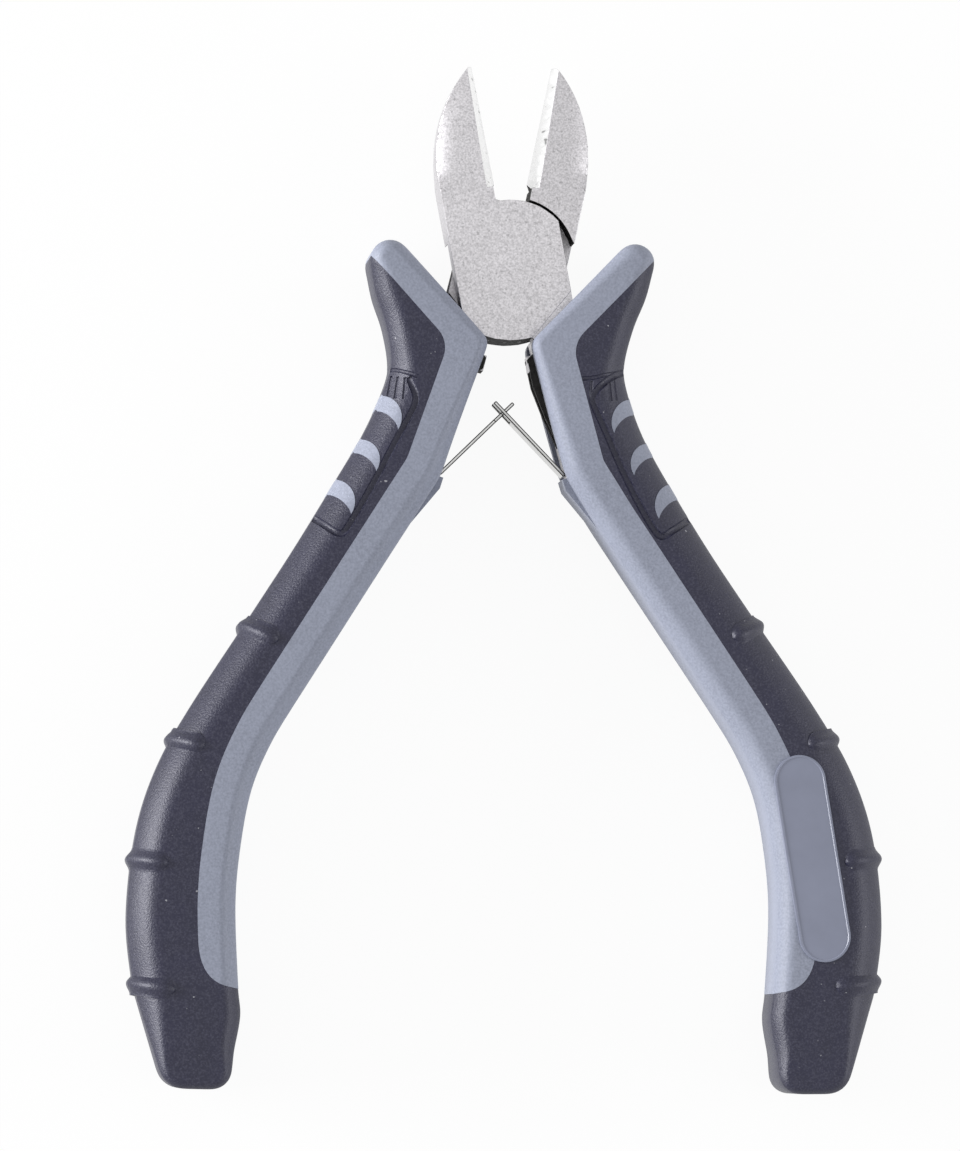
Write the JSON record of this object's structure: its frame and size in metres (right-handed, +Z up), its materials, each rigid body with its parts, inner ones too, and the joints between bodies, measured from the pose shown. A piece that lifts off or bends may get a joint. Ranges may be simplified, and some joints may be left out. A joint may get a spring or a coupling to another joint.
{
  "type": "diagonal cutting pliers",
  "caption": "Small diagonal cutters with two-colour winged grips, lapped and riveted forged halves, and crossing leaf springs that push the handles open.",
  "frame": {"origin": "middle of the base of the open tool's box, as it lies flat on its back", "axes": "+Y along the tool from the handles to the jaws, +Z up out of the front face, +X to the right"},
  "size_m": [0.0804, 0.1096, 0.0115],
  "materials": {
    "forged_steel": "fine bead-blasted nickel-grey steel, ground bright along the cutting edges",
    "spring_steel": "bright rolled strip",
    "light_grip": "satin moulded, faintly mottled blue-grey",
    "dark_grip": "fine-grained matt overmould, dark slate blue-grey"
  },
  "bodies": {
    "right_handle_half": {"front_half": "forged_steel", "pivot_rivet": "forged_steel", "right_grip_core": "light_grip", "right_grip_overmould": "dark_grip", "right_spring_foot": "spring_steel"},
    "left_handle_half": {"back_half": "forged_steel", "left_grip_core": "light_grip", "left_grip_overmould": "dark_grip", "left_spring_foot": "spring_steel"},
    "right_spring": {"right_spring_blade": "spring_steel"},
    "left_spring": {"left_spring_blade": "spring_steel"}
  },
  "joints": [
    {"name": "jaw_pivot", "type": "hinge", "parent": "right_handle_half", "child": "left_handle_half", "pos_m": [0, 0.03363, 0.00575], "axis": [0, 0, 1], "range_deg": [0, 22.8], "stiffness_Nm_per_rad": 0.5, "springref_deg": -11.46},
    {"name": "right_spring_flex", "type": "hinge", "parent": "right_handle_half", "child": "right_spring", "pos_m": [0.00659, 0.01098, 0.00575], "axis": [0, 0, 1], "range_deg": [-22.1, 0]},
    {"name": "left_spring_flex", "type": "hinge", "parent": "left_handle_half", "child": "left_spring", "pos_m": [-0.00659, 0.01098, 0.00575], "axis": [0, 0, 1], "range_deg": [0, 22.1]}
  ],
  "couplings": [
    {"joint": "right_spring_flex", "follows": "jaw_pivot", "ratio": -0.965},
    {"joint": "left_spring_flex", "follows": "jaw_pivot", "ratio": 0.965}
  ]
}
